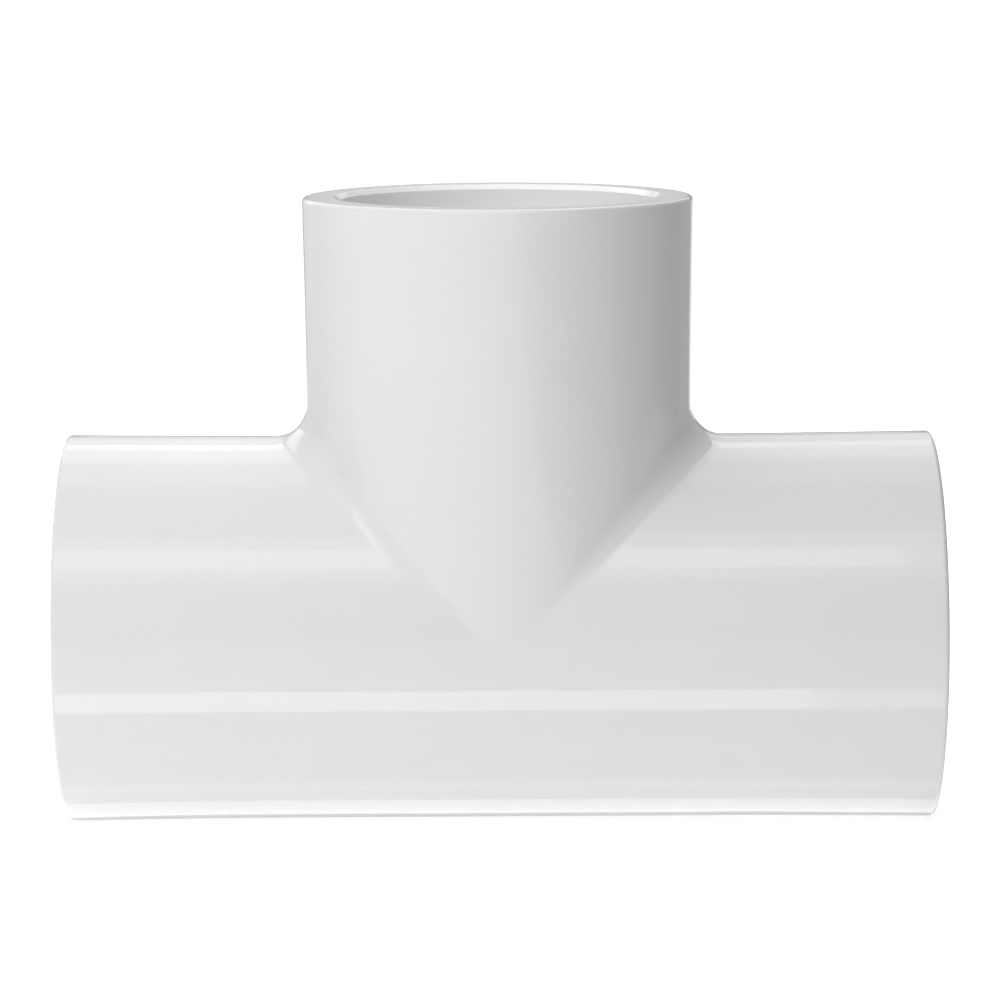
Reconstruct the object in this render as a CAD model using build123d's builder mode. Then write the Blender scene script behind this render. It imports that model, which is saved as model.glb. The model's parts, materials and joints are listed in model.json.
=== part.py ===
"""Solvent-weld tee fitting for 1 inch Schedule 40 pipe: one moulding with three equal sockets.

The run lies along X and the branch rises along +Z. The origin is where their axes cross.
All sizes are in millimetres.
"""
from build123d import *
import os

# Pipe that the sockets take
pipe_d = 33.40  # outside diameter
pipe_bore_d = 26.64  # inside diameter, carried on by the waterway

# Sockets: a lead-in chamfer, a tapered entry and a straight land that ends at a flat pipe stop
socket_depth = 28.58
centre_to_stop = 17.46
land_length = 14.30
land_clearance = 0.06  # on the diameter, where the pipe seats
entry_clearance = 0.26  # on the diameter, at the mouth
lead_in = 0.50  # chamfer at the mouth, each way

# Outside
socket_wall = 3.81  # at the mouth
hub_flare = 0.36  # how much wider the mouths are than the body, on the diameter
root_fillet = 3.60  # where the branch leaves the run
root_land = 1.00  # straight body between the root fillet and the start of the flare
mouth_round = 0.45  # outer edge of each mouth

# Small differences that let the branch seat on the run
branch_body_step = 0.05  # branch body radius under run body radius
branch_bore_step = 0.10  # branch waterway radius under run waterway radius

# Worked out from the sizes above
centre_to_end = centre_to_stop + socket_depth
land_r = (pipe_d + land_clearance) / 2
entry_r = (pipe_d + entry_clearance) / 2
land_end = centre_to_stop + land_length
mouth_r = entry_r + socket_wall
run_body_r = mouth_r - hub_flare / 2
branch_body_r = run_body_r - branch_body_step
run_bore_r = pipe_bore_d / 2
branch_bore_r = run_bore_r - branch_bore_step
body_half = run_body_r + root_fillet + root_land

# One plane per arm: its local Y points out along the arm, its local X is the radius
left_arm = Plane(origin=(0, 0, 0), x_dir=(0, 0, 1), z_dir=(0, -1, 0))
right_arm = Plane(origin=(0, 0, 0), x_dir=(0, 0, 1), z_dir=(0, 1, 0))
branch_arm = Plane.XZ


with BuildPart() as tee_body:
    # Outside: each arm is a straight body that flares a little towards its mouth
    for arm, body_r in ((left_arm, run_body_r), (right_arm, run_body_r), (branch_arm, branch_body_r)):
        with BuildSketch(arm):
            with BuildLine():
                Polyline(
                    (0, 0),
                    (body_r, 0),
                    (body_r, body_half),
                    (mouth_r, centre_to_end),
                    (0, centre_to_end),
                    close=True,
                )
            make_face()
        revolve(axis=Axis(arm.origin, arm.y_dir))

    # The only free-form edge is the V-shaped root between branch and run
    fillet(tee_body.edges().filter_by(GeomType.BSPLINE), root_fillet)

    # The three end discs are still the only flat faces
    fillet(tee_body.faces().filter_by(GeomType.PLANE).edges(), mouth_round)

    # Inside: waterway, flat pipe stop, land, tapered entry and lead-in of each arm
    for arm, bore_r in ((left_arm, run_bore_r), (right_arm, run_bore_r), (branch_arm, branch_bore_r)):
        with BuildSketch(arm):
            with BuildLine():
                Polyline(
                    (0, 0),
                    (bore_r, 0),
                    (bore_r, centre_to_stop),
                    (land_r, centre_to_stop),
                    (land_r, land_end),
                    (entry_r, centre_to_end - lead_in),
                    (entry_r + lead_in, centre_to_end),
                    (0, centre_to_end),
                    close=True,
                )
            make_face()
        revolve(axis=Axis(arm.origin, arm.y_dir), mode=Mode.SUBTRACT)

tee_body.part.label = "tee_body"

os.makedirs("parts", exist_ok=True)
export_step(tee_body.part, "parts/tee_body.step")
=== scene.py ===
"""Looks of the tee fitting: smooth moulded skin, glossy white PVC, pale studio and the photo's viewpoint."""

import json
import math

import bmesh
import bpy
from mathutils import Matrix, Vector


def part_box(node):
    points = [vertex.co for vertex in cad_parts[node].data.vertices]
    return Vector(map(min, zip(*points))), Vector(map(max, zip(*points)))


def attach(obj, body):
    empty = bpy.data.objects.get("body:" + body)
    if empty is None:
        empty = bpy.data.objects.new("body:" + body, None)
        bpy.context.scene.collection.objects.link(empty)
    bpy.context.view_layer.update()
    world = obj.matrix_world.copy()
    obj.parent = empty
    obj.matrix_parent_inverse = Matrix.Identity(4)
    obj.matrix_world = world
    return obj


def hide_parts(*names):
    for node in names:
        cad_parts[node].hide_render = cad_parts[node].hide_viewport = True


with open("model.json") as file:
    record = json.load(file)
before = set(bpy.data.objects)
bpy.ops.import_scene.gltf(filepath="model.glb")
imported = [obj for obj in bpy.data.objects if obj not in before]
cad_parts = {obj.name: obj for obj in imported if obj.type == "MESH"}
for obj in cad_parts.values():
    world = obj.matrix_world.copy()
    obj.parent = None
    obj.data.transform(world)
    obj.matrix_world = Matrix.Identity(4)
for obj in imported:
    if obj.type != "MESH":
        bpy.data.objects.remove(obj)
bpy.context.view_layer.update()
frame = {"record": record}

MM = 0.001

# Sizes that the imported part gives
mounts = {mount["name"]: mount for mount in frame["record"]["mounts"]}
node_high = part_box("tee_body")[1]
centre_to_end = node_high.x
mouth_r = node_high.y
land_r = mounts["right_socket"]["dims"]["r_mm"] * MM
centre_to_stop = mounts["right_socket"]["pos_m"][0]
land_end = centre_to_stop + mounts["right_socket"]["dims"]["length_mm"] * MM
run_bore_r = mounts["run_waterway"]["dims"]["r_mm"] * MM

# Sizes that the mounts don't give
hub_flare = 0.18 * MM
branch_body_step = 0.05 * MM
branch_bore_step = 0.10 * MM
root_fillet = 3.60 * MM
mouth_round = 0.45 * MM
lead_in = 0.50 * MM
entry_r = land_r + 0.10 * MM
run_body_r = mouth_r - hub_flare
branch_body_r = run_body_r - branch_body_step
branch_bore_r = run_bore_r - branch_bore_step
flare_start = run_body_r + root_fillet + 1.00 * MM
flare_end = centre_to_end - mouth_round

# Small moulded details
crossing_round = 0.35 * MM  # edge where the waterways cross
stop_round = 0.25 * MM  # inner edge of each pipe stop
corner_round = 0.30 * MM  # inside corner of each pipe stop
rim_round = 0.12 * MM  # both edges of the lead-in
seam_height = 0.035 * MM  # mould parting line, all round in the plane of the axes
seam_width = 0.11 * MM
wave_height = 0.012 * MM  # slow unevenness of the moulded skin

# Mesh fineness
ROUND_STEPS = 5
FILLET_STEPS = 14
BODY_ROWS = 36
WATERWAY_ROWS = 10
QUARTER_COLUMNS = 34
LONGEST_STEP = 2.5 * MM
SUPPORT = 0.15 * MM
seam_offsets = [offset * MM for offset in (0.05, 0.10, 0.16, 0.25, 0.42, 0.75)]


# ---------------------------------------------------------------- shape of the moulding

def eased(count):
    """Shares from 0 to 1, closer together at both ends."""
    return [0.5 - 0.5 * math.cos(math.pi * k / count) for k in range(count + 1)]


def rounded_profile(corners):
    """Points along a line of (distance, radius, rounding) corners, with arcs at the corners."""
    points = []
    for k, (distance, radius, rounding) in enumerate(corners):
        here = Vector((distance, radius))
        if rounding == 0:
            points.append(here)
            continue
        back = (Vector(corners[k - 1][:2]) - here).normalized()
        ahead = (Vector(corners[k + 1][:2]) - here).normalized()
        half = back.angle(ahead) / 2
        reach = rounding / math.tan(half)
        centre = here + (back + ahead).normalized() * rounding / math.sin(half)
        first = (here + back * reach - centre).normalized()
        last = (here + ahead * reach - centre).normalized()
        points += [centre + rounding * first.slerp(last, n / ROUND_STEPS) for n in range(ROUND_STEPS + 1)]
    return points


def with_rows(points):
    """The same line, with support rows at the ends of long steps and even rows between them."""
    rows = [points[0]]
    for a, b in zip(points, points[1:]):
        length = (b - a).length
        if length > 4 * SUPPORT:
            start = a.lerp(b, SUPPORT / length)
            end = b.lerp(a, SUPPORT / length)
            count = math.ceil((end - start).length / LONGEST_STEP)
            rows += [start.lerp(end, n / count) for n in range(count + 1)]
        rows.append(b)
    return rows


def mouth_profile(bore_r):
    """One arm from the end of its flare, over the rim and down the socket to the start of its waterway."""
    corners = [
        (flare_end, mouth_r, 0),
        (centre_to_end, mouth_r, mouth_round),
        (centre_to_end, entry_r + lead_in, rim_round),
        (centre_to_end - lead_in, entry_r, rim_round),
        (land_end, land_r, 0),
        (centre_to_stop, land_r, corner_round),
        (centre_to_stop, bore_r, stop_round),
        (centre_to_stop - 2 * stop_round, bore_r, 0),
    ]
    line = rounded_profile(corners)
    return with_rows(line[1:])


def body_radius(body_r, distance):
    """Outside radius of an arm: straight, then opening smoothly towards its mouth."""
    share = max(0.0, (distance - flare_start) / (flare_end - flare_start))
    return body_r + (mouth_r - body_r) * share**1.5


def arm_line(body_r, bore_r, outside_start, inside_end):
    """(distance, radius) of one arm from its root outside, round the mouth, to its root inside."""
    line = []
    for share in eased(BODY_ROWS)[:-1]:
        distance = outside_start + (flare_end - outside_start) * share
        line.append(Vector((distance, body_radius(body_r, distance))))
    mouth = mouth_profile(bore_r)
    line += mouth
    for share in eased(WATERWAY_ROWS)[1:]:
        line.append(Vector((mouth[-1].x + (inside_end - mouth[-1].x) * share, bore_r)))
    return line


def rolling_ball(theta, branch_r, run_r, ball):
    """Centre of a ball that touches branch and run at this angle round the branch, its two contact directions
    and its angle round the run."""
    x = (branch_r + ball) * math.cos(theta)
    y = (branch_r + ball) * math.sin(theta)
    z = math.sqrt((run_r + ball) ** 2 - y**2)
    to_branch = Vector((math.cos(theta), math.sin(theta), 0))
    to_run = Vector((0, y, z)).normalized()
    return Vector((x, y, z)), to_branch, to_run, math.atan2(y, z)


def ball_arc(ball_place, ball, steps):
    """Points of the rounding from its branch side to its run side, without the two ends."""
    centre, to_branch, to_run, _ = ball_place
    return [centre - ball * to_branch.slerp(to_run, n / steps) for n in range(1, steps)]


def run_point(place, outer_angle, inner_angle):
    """A point of the run from (distance, radius). Its angle changes from outer to inner on the pipe stop."""
    share = min(1.0, max(0.0, (land_r - place.y) / (land_r - run_bore_r)))
    angle = outer_angle + (inner_angle - outer_angle) * share
    return Vector((place.x, place.y * math.sin(angle), place.y * math.cos(angle)))


def upper_column(theta):
    """Closed loop of the wall at this angle round the branch: up the branch, down its socket, out along the
    run's waterway and back over the run."""
    outer = rolling_ball(theta, branch_body_r, run_body_r, root_fillet)
    inner = rolling_ball(theta, branch_bore_r, run_bore_r, crossing_round)
    branch = arm_line(branch_body_r, branch_bore_r, outer[0].z, inner[0].z)
    run = arm_line(run_body_r, run_bore_r, outer[0].x, inner[0].x)
    loop = [Vector((p.y * math.cos(theta), p.y * math.sin(theta), p.x)) for p in branch]
    loop += ball_arc(inner, crossing_round, ROUND_STEPS)
    loop += [run_point(p, outer[3], inner[3]) for p in reversed(run)]
    loop += reversed(ball_arc(outer, root_fillet, FILLET_STEPS))
    return loop


def lower_column(share):
    """Closed loop of the run's wall below the branch, from one side (0) under the bottom to the other (1)."""
    outer_side = rolling_ball(math.pi / 2, branch_body_r, run_body_r, root_fillet)[3]
    inner_side = rolling_ball(math.pi / 2, branch_bore_r, run_bore_r, crossing_round)[3]
    outer_angle = outer_side + (2 * math.pi - 2 * outer_side) * share
    inner_angle = inner_side + (2 * math.pi - 2 * inner_side) * share
    right = [run_point(p, outer_angle, inner_angle) for p in arm_line(run_body_r, run_bore_r, 0, 0)]
    left = [Vector((-p.x, p.y, p.z)) for p in reversed(right)]
    return right + left[1:-1]


def column_shares():
    """Shares across half a turn, with extra columns in the middle where the parting line runs."""
    middle = [offset / (math.pi * run_body_r) for offset in seam_offsets]
    wide = [middle[-1] + (0.5 - middle[-1]) * n / QUARTER_COLUMNS for n in range(1, QUARTER_COLUMNS + 1)]
    half = middle + wide
    return [0.5 - step for step in reversed(half)] + [0.5] + [0.5 + step for step in half]


def add_columns(mesh, columns):
    """Joins neighbouring loops with quads."""
    rows = [[mesh.verts.new(point) for point in column] for column in columns]
    for a, b in zip(rows, rows[1:]):
        for k in range(len(a)):
            after = (k + 1) % len(a)
            mesh.faces.new((a[k], a[after], b[after], b[k]))


def skin_wave(p):
    """Slow unevenness of the skin at a point, from -1 to 1."""
    x, y, z = (value / MM for value in p)
    long_wave = math.sin(0.31 * x + 0.17 * y + 0.8) * math.cos(0.23 * z - 0.19 * y)
    short_wave = math.sin(0.52 * z + 0.33 * y + 2.1) * math.cos(0.44 * x + 0.12 * z)
    return 0.65 * long_wave + 0.35 * short_wave


def seam_rise(p):
    """Height of the parting line at a point of the skin, from 0 to 1. It is dressed off near the mouths."""
    outside_r = (entry_r + mouth_r) / 2
    off_run = math.hypot(p.y, p.z) > outside_r
    off_branch = p.z < 0 or math.hypot(p.x, p.y) > outside_r
    if not (off_run and off_branch):
        return 0.0
    to_mouth = min(centre_to_end - abs(p.x), centre_to_end - p.z)
    dressed = min(1.0, max(0.0, (to_mouth - 0.6 * MM) / (2.5 * MM)))
    return dressed * math.exp(-((p.y / seam_width) ** 2))


def build_tee():
    """The whole moulding as one closed mesh of quads."""
    half_turn = column_shares()
    right = [upper_column(math.pi * (share - 0.5)) for share in half_turn]
    left = [[Vector((-p.x, p.y, p.z)) for p in column] for column in right]
    low = [lower_column(share) for share in half_turn]
    mesh = bmesh.new()
    for columns in (right, left, low):
        add_columns(mesh, columns)
    bmesh.ops.remove_doubles(mesh, verts=mesh.verts, dist=0.0001 * MM)
    bmesh.ops.recalc_face_normals(mesh, faces=mesh.faces)
    mesh.normal_update()
    moves = [v.normal * (wave_height * skin_wave(v.co) + seam_height * seam_rise(v.co)) for v in mesh.verts]
    for vertex, move in zip(mesh.verts, moves):
        vertex.co += move
    for face in mesh.faces:
        face.smooth = True
    data = bpy.data.meshes.new("tee_moulding")
    mesh.to_mesh(data)
    mesh.free()
    piece = bpy.data.objects.new("tee_moulding", data)
    bpy.context.scene.collection.objects.link(piece)
    return piece


# ---------------------------------------------------------------- material

PVC_WHITE = 0.85


def new_material(name):
    """A node material: itself, its nodes, its links and its shader."""
    material = bpy.data.materials.new(name)
    material.use_nodes = True
    nodes = material.node_tree.nodes
    return material, nodes, material.node_tree.links, nodes["Principled BSDF"]


def noise(nodes, links, coordinates, scale, detail, roughness=0.5):
    """A noise texture in object coordinates. Scale counts features per metre."""
    texture = nodes.new("ShaderNodeTexNoise")
    texture.inputs["Scale"].default_value = scale
    texture.inputs["Detail"].default_value = detail
    texture.inputs["Roughness"].default_value = roughness
    links.new(coordinates, texture.inputs["Vector"])
    return texture.outputs["Fac"]


def remap(nodes, links, value, low, high, to_low, to_high):
    """Maps a value's range from low..high to to_low..to_high, clamped."""
    node = nodes.new("ShaderNodeMapRange")
    node.inputs["From Min"].default_value = low
    node.inputs["From Max"].default_value = high
    node.inputs["To Min"].default_value = to_low
    node.inputs["To Max"].default_value = to_high
    links.new(value, node.inputs["Value"])
    return node.outputs["Result"]


def multiply(nodes, links, a, b):
    """The product of two values."""
    node = nodes.new("ShaderNodeMath")
    node.operation = "MULTIPLY"
    links.new(a, node.inputs[0])
    links.new(b, node.inputs[1])
    return node.outputs["Value"]


def speck_shade(nodes, links, coordinates):
    """1 over most of the surface, a little less in sparse specks the size of a grain of sand."""
    cells = nodes.new("ShaderNodeTexVoronoi")
    cells.inputs["Scale"].default_value = 110
    links.new(coordinates, cells.inputs["Vector"])
    split = nodes.new("ShaderNodeSeparateColor")
    links.new(cells.outputs["Color"], split.inputs["Color"])
    chosen = remap(nodes, links, split.outputs["Red"], 0.90, 0.91, 0.0, 1.0)
    size = remap(nodes, links, cells.outputs["Distance"], 0.02, 0.06, 1.0, 0.0)
    amount = multiply(nodes, links, chosen, size)
    return remap(nodes, links, amount, 0.0, 1.0, 1.0, 0.86)


def white_pvc():
    """Glossy white PVC: faint mottling and flow marks, uneven gloss, fine orange peel and a few specks."""
    material, nodes, links, shader = new_material("white_pvc_gloss")
    coordinates = nodes.new("ShaderNodeTexCoord").outputs["Object"]

    mottling = remap(nodes, links, noise(nodes, links, coordinates, 60, 3), 0.3, 0.7, 0.985, 1.0)
    grain = remap(nodes, links, noise(nodes, links, coordinates, 2600, 2), 0.3, 0.7, 0.985, 1.0)
    uneven = multiply(nodes, links, mottling, grain)
    shade = multiply(nodes, links, uneven, speck_shade(nodes, links, coordinates))
    tint = nodes.new("ShaderNodeMix")
    tint.data_type = "RGBA"
    tint.inputs["A"].default_value = (0.0, 0.0, 0.0, 1)
    tint.inputs["B"].default_value = (PVC_WHITE, PVC_WHITE, PVC_WHITE, 1)
    links.new(shade, tint.inputs["Factor"])
    links.new(tint.outputs["Result"], shader.inputs["Base Color"])

    smears = noise(nodes, links, coordinates, 240, 4, 0.6)
    links.new(remap(nodes, links, smears, 0.3, 0.7, 0.035, 0.055), shader.inputs["Roughness"])
    shader.inputs["IOR"].default_value = 1.53

    peel = nodes.new("ShaderNodeBump")
    peel.inputs["Strength"].default_value = 0.25
    peel.inputs["Distance"].default_value = 0.01 * MM
    links.new(noise(nodes, links, coordinates, 900, 2), peel.inputs["Height"])
    links.new(peel.outputs["Normal"], shader.inputs["Normal"])
    return material


# ---------------------------------------------------------------- studio

FLOOR_WHITE = 0.85
FLOOR_REACH = 6.0
FLOOR_GLOW = 0.29  # on the fitting
FLOOR_GLOW_SEEN = 0.62  # in the picture
ROOM_EVEN = 0.21
ROOM_ABOVE = 0.80  # more at the ceiling
ROOM_FRONT = 0.40  # more in front
ROOM_SEEN = 1.20  # in the picture, beyond the floor's edge
CARD_SHADE = 0.02
CARD_TOP = 0.3
STRIP_DISTANCE = 0.5

# Strips on the floor: name, front and back edge (mm along Y), left and right end (mm along X), glow
LOW_STRIPS = (
    ("low_sheet", -70, -50.8, -70, 70, 0.15),
    ("low_band", -50.8, -36.5, -70, 34, 1.97),
    ("low_band_fading", -50.8, -36.5, 34, 48, 1.2),
    ("low_band_end", -50.8, -36.5, 48, 70, 0.55),
    ("low_sheet_near", -36.5, -23.5, -70, 70, 0.15),
    ("low_soft_line", -23.5, -20.6, -70, 70, 0.28),
    ("low_sheet_under", -20.6, -14.2, -70, 70, 0.15),
    ("low_line", -14.2, -12.3, -70, 70, 0.52),
    ("low_sheet_last", -12.3, -9.9, -70, 70, 0.25),
    ("low_bright_line", -9.9, -5.5, -70, 70, 0.90),
)


def luminous_white(name, white, glow):
    """Matt white that also glows a little, like a lit acrylic table."""
    material, nodes, links, shader = new_material(name)
    shader.inputs["Base Color"].default_value = (white, white, white, 1)
    shader.inputs["Roughness"].default_value = 0.9
    shader.inputs["Specular IOR Level"].default_value = 0.0
    shader.inputs["Emission Color"].default_value = (1, 1, 1, 1)
    shader.inputs["Emission Strength"].default_value = glow
    return material, nodes, links, shader


def flat_piece(name, corners, material):
    """One flat face of the stage."""
    data = bpy.data.meshes.new(name)
    data.from_pydata(corners, [], [tuple(range(len(corners)))])
    data.materials.append(material)
    piece = bpy.data.objects.new(name, data)
    bpy.context.scene.collection.objects.link(piece)
    return piece


def brighter_to_camera(nodes, links, glow, glow_seen):
    """A glow that the camera sees brighter than the fitting does, so the backdrop stays plain white."""
    seen = nodes.new("ShaderNodeMix")
    links.new(nodes.new("ShaderNodeLightPath").outputs["Is Camera Ray"], seen.inputs["Factor"])
    seen.inputs["A"].default_value = glow
    seen.inputs["B"].default_value = glow_seen
    return seen


def add_floor(height):
    """Pale round floor, wide enough to run out of sight."""
    turns = [math.tau * k / 64 for k in range(64)]
    rim = [(FLOOR_REACH * math.cos(turn), FLOOR_REACH * math.sin(turn), height) for turn in turns]
    material, nodes, links, shader = luminous_white("floor_white", FLOOR_WHITE, FLOOR_GLOW)
    seen = brighter_to_camera(nodes, links, FLOOR_GLOW, FLOOR_GLOW_SEEN)
    links.new(seen.outputs["Result"], shader.inputs["Emission Strength"])
    return flat_piece("floor", rim, material)


def add_card(name, x, places, glows, floor_height):
    """Upright graded card beside the fitting, unseen by the camera, which keeps light off that side. Along Y
    it starts at the first place, is darkest at the second, levels off at the third and stops at the fourth.
    Its glows are those at the first three places."""
    front, darkest, level, back = places
    material, nodes, links, shader = luminous_white(name + "_graded", CARD_SHADE, 0.0)
    place = nodes.new("ShaderNodeSeparateXYZ")
    links.new(nodes.new("ShaderNodeTexCoord").outputs["Object"], place.inputs["Vector"])
    towards_front = remap(nodes, links, place.outputs["Y"], front, darkest, glows[0], glows[1])
    towards_back = remap(nodes, links, place.outputs["Y"], darkest, level, glows[1], glows[2])
    glow = nodes.new("ShaderNodeMath")
    glow.operation = "MAXIMUM"
    links.new(towards_front, glow.inputs[0])
    links.new(towards_back, glow.inputs[1])
    links.new(glow.outputs["Value"], shader.inputs["Emission Strength"])
    corners = [(x, front, floor_height), (x, back, floor_height), (x, back, CARD_TOP), (x, front, CARD_TOP)]
    card = flat_piece(name, corners, material)
    card.visible_camera = False
    return card


def add_panel(name, place, aim, size, glow):
    """Soft rectangular light that the camera doesn't see. Its first size runs level."""
    light = bpy.data.lights.new(name, "AREA")
    light.shape = "RECTANGLE"
    light.size = size[0]
    light.size_y = size[1]
    light.energy = glow * math.pi * size[0] * size[1]
    panel = bpy.data.objects.new(name, light)
    bpy.context.scene.collection.objects.link(panel)
    forward = (Vector(aim) - Vector(place)).normalized()
    level = Vector((1, 0, 0))
    if abs(forward.x) > 0.001:
        level = forward.cross(Vector((0, 0, 1))).normalized()
    up = level.cross(forward)
    axes = Matrix((level, up, -forward)).transposed().to_4x4()
    panel.matrix_world = Matrix.Translation(place) @ axes
    panel.visible_camera = False
    return panel


def only_in_gloss(light):
    """Keeps a light off the matt shading, so that it is just a reflection."""
    light.visible_diffuse = False
    return light


def out_of_gloss(light):
    """Keeps a light out of the reflections, so that it only brightens."""
    light.visible_glossy = False
    return light


def add_strip(name, from_angle, to_angle, left, right, glow):
    """Long light along the run, between two angles round its axis: 0 in front, 90 up, 180 behind."""
    turn = math.radians((from_angle + to_angle) / 2)
    width = 2 * STRIP_DISTANCE * math.tan(math.radians(to_angle - from_angle) / 2)
    middle = (left + right) / 2
    place = (middle, -STRIP_DISTANCE * math.cos(turn), STRIP_DISTANCE * math.sin(turn))
    return add_panel(name, place, (middle, 0, 0), (right - left, width), glow)


def add_low_strip(name, front, back, left, right, glow, floor_height):
    """Thin light lying on the floor in front of the run or under it, seen only as a line in the gloss."""
    place = ((left + right) / 2, (front + back) / 2, floor_height + 0.05 * MM)
    above = (place[0], place[1], 1)
    return only_in_gloss(add_panel(name, place, above, (right - left, back - front), glow))


def add_mouth_spot(place, aim, spread, power):
    """Narrow soft beam into the branch's mouth. It draws no point in the gloss."""
    light = bpy.data.lights.new("mouth_spot", "SPOT")
    light.energy = power
    light.spot_size = math.radians(spread)
    light.spot_blend = 0.5
    light.shadow_soft_size = 0.004
    spot = bpy.data.objects.new("mouth_spot", light)
    bpy.context.scene.collection.objects.link(spot)
    spot.location = place
    spot.rotation_euler = (Vector(aim) - Vector(place)).to_track_quat("-Z", "Y").to_euler()
    return out_of_gloss(spot)


def add_world(even, above, front):
    """Soft light from all round, growing towards the ceiling and the front. The camera sees plain white."""
    world = bpy.data.worlds.new("pale_room")
    world.use_nodes = True
    nodes = world.node_tree.nodes
    links = world.node_tree.links
    way = nodes.new("ShaderNodeSeparateXYZ")
    links.new(nodes.new("ShaderNodeTexCoord").outputs["Generated"], way.inputs["Vector"])
    glow = nodes.new("ShaderNodeMath")
    links.new(remap(nodes, links, way.outputs["Z"], 0, 1, even, even + above), glow.inputs[0])
    links.new(remap(nodes, links, way.outputs["Y"], 0, -1, 0, front), glow.inputs[1])
    seen = brighter_to_camera(nodes, links, even, ROOM_SEEN)
    links.new(glow.outputs["Value"], seen.inputs["A"])
    nodes["Background"].inputs["Color"].default_value = (1, 1, 1, 1)
    links.new(seen.outputs["Result"], nodes["Background"].inputs["Strength"])
    bpy.context.scene.world = world
    return world


def add_cards(floor_height):
    """Cards that keep light off the fitting's right side, and off its left edge."""
    add_card("right_card", 0.12, (-0.6, -0.02, 0.12, 0.3), (0.8, 0.0, 0.5), floor_height)
    add_card("left_card", -0.12, (0.0, 0.07, 0.13, 0.35), (0.8, 0.60, 0.72), floor_height)
    add_card("left_far_card", -0.12, (0.35, 0.45, 1.2, 1.3), (0.6, 0.35, 0.35), floor_height)


def add_lights():
    """Panels and strips round the run. Each strip is one of the long lines or bands in the gloss."""
    add_panel("front_panel", (0.06, -0.45, 0.54), (0, 0, 0), (0.9, 0.35), 0.66)
    only_in_gloss(add_strip("front_strip", 42.8, 55.0, -0.45, 0.08, 1.05))
    out_of_gloss(add_strip("front_glow", 43.4, 53.2, -0.25, 0.08, 1.05))
    add_strip("top_strip", 100, 123, -0.25, 0.20, 0.44)
    add_strip("back_strip_high", 123, 139.5, -0.25, 0.20, 0.87)
    add_strip("back_strip_left", 139.5, 148.5, -0.25, 0.06, 1.33)
    add_strip("back_strip_right", 139.5, 148.5, 0.06, 0.20, 1.10)
    add_strip("back_strip_low", 148.5, 165, -0.25, 0.20, 0.55)
    only_in_gloss(add_panel("root_panel", (-0.118, 0.20, 0.14), (0, 0.20, 0.14), (0.16, 0.16), 0.8))
    only_in_gloss(add_strip("rim_strip", 166, 174, -0.045, 0.045, 0.25))
    add_mouth_spot((-0.10, -0.22, 0.55), (0, 0, centre_to_end), 3.8, 7.0)


def add_low_strips(floor_height):
    """Strips on the floor, from well in front of the run to nearly under its axis."""
    for name, front, back, left, right, glow in LOW_STRIPS:
        add_low_strip(name, front * MM, back * MM, left * MM, right * MM, glow, floor_height)


# ---------------------------------------------------------------- camera

VIEW_DISTANCE = 445 * MM
VIEW_ELEVATION = 8.3
VIEW_ROLL = -0.33
FRAME_WIDTH = 107.2 * MM  # width of the view at the fitting
ORIGIN_BELOW = 13.40 * MM  # how far the origin sits below the middle of the view


def add_camera():
    """The photo's viewpoint."""
    tilt = math.radians(VIEW_ELEVATION)
    roll = math.radians(VIEW_ROLL)
    forward = Vector((0, math.cos(tilt), -math.sin(tilt)))
    down = Vector((0, -math.sin(tilt), -math.cos(tilt)))
    right = Vector((1, 0, 0))
    rolled_right = right * math.cos(roll) - down * math.sin(roll)
    rolled_down = down * math.cos(roll) + right * math.sin(roll)
    place = -(rolled_down * ORIGIN_BELOW + forward * VIEW_DISTANCE)
    data = bpy.data.cameras.new("photo_camera")
    data.sensor_width = 36
    data.lens = data.sensor_width * VIEW_DISTANCE / FRAME_WIDTH
    data.clip_start = 0.01
    camera = bpy.data.objects.new("photo_camera", data)
    bpy.context.scene.collection.objects.link(camera)
    axes = Matrix((rolled_right, -rolled_down, -forward)).transposed().to_4x4()
    camera.matrix_world = Matrix.Translation(place) @ axes
    bpy.context.scene.camera = camera


# ---------------------------------------------------------------- scene

tee = build_tee()
tee.data.materials.append(white_pvc())
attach(tee, "root")
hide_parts("tee_body")

floor_height = min(vertex.co.z for vertex in tee.data.vertices)
add_floor(floor_height)
add_cards(floor_height)
add_world(ROOM_EVEN, ROOM_ABOVE, ROOM_FRONT)
add_lights()
add_low_strips(floor_height)
add_camera()
bpy.context.scene.view_settings.view_transform = "Standard"
